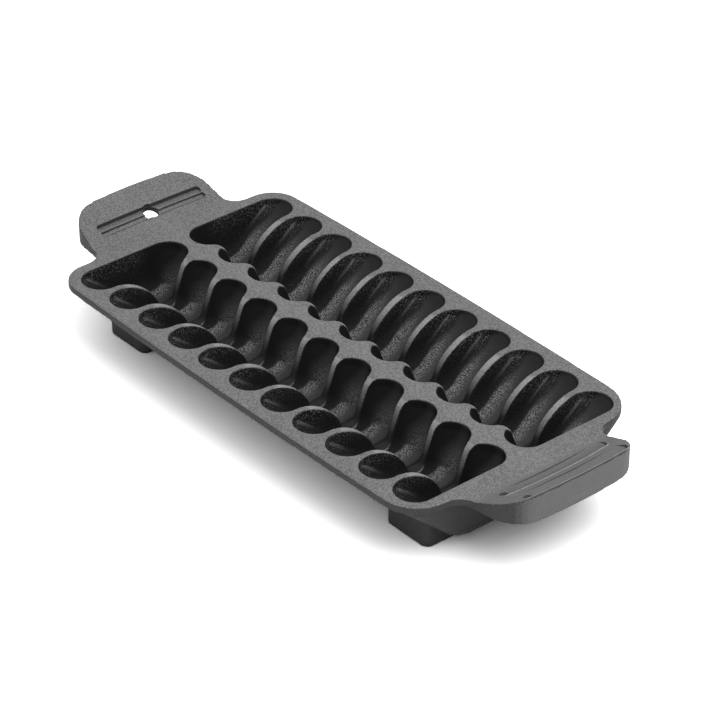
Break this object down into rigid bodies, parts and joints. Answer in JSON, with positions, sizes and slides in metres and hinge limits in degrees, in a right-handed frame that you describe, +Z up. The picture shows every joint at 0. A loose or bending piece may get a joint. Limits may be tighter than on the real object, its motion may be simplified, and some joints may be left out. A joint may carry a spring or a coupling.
{
  "type": "shrimp grill pan",
  "caption": "Cast iron grill pan with two banks of deep narrow cells that each hold a shrimp upright, dipped dividers, a handle at each end, and feet.",
  "frame": {"origin": "on the table, under the middle of the pan", "axes": "+X from the left handle, with the hang hole, to the right handle; +Y from the front rim to the back rim; +Z up"},
  "size_m": [0.358, 0.152, 0.0473],
  "materials": {
    "sand_cast_iron": "rough sand-cast skin, grey",
    "ground_iron": "smoother, lighter crest",
    "seasoned_iron": "dark seasoned skin",
    "side_iron": "dark grey cast skin"
  },
  "bodies": {
    "root": {"rim_front": "sand_cast_iron", "rim_back": "sand_cast_iron", "centre_rib": "ground_iron", "end_wall_right": "sand_cast_iron", "end_wall_left": "sand_cast_iron", "trough_front": "seasoned_iron", "trough_back": "seasoned_iron", "handle_right": "sand_cast_iron", "handle_left": "sand_cast_iron", "divider_front_01": "seasoned_iron", "divider_front_02": "seasoned_iron", "divider_front_03": "seasoned_iron", "divider_front_04": "seasoned_iron", "divider_front_05": "seasoned_iron", "divider_front_06": "seasoned_iron", "divider_front_07": "seasoned_iron", "divider_front_08": "seasoned_iron", "divider_front_09": "seasoned_iron", "divider_front_10": "seasoned_iron", "divider_back_01": "seasoned_iron", "divider_back_02": "seasoned_iron", "divider_back_03": "seasoned_iron", "divider_back_04": "seasoned_iron", "divider_back_05": "seasoned_iron", "divider_back_06": "seasoned_iron", "divider_back_07": "seasoned_iron", "divider_back_08": "seasoned_iron", "divider_back_09": "seasoned_iron", "divider_back_10": "seasoned_iron", "foot_front_right": "side_iron", "foot_front_left": "side_iron", "foot_back_right": "side_iron", "foot_back_left": "side_iron"}
  },
  "joints": []
}
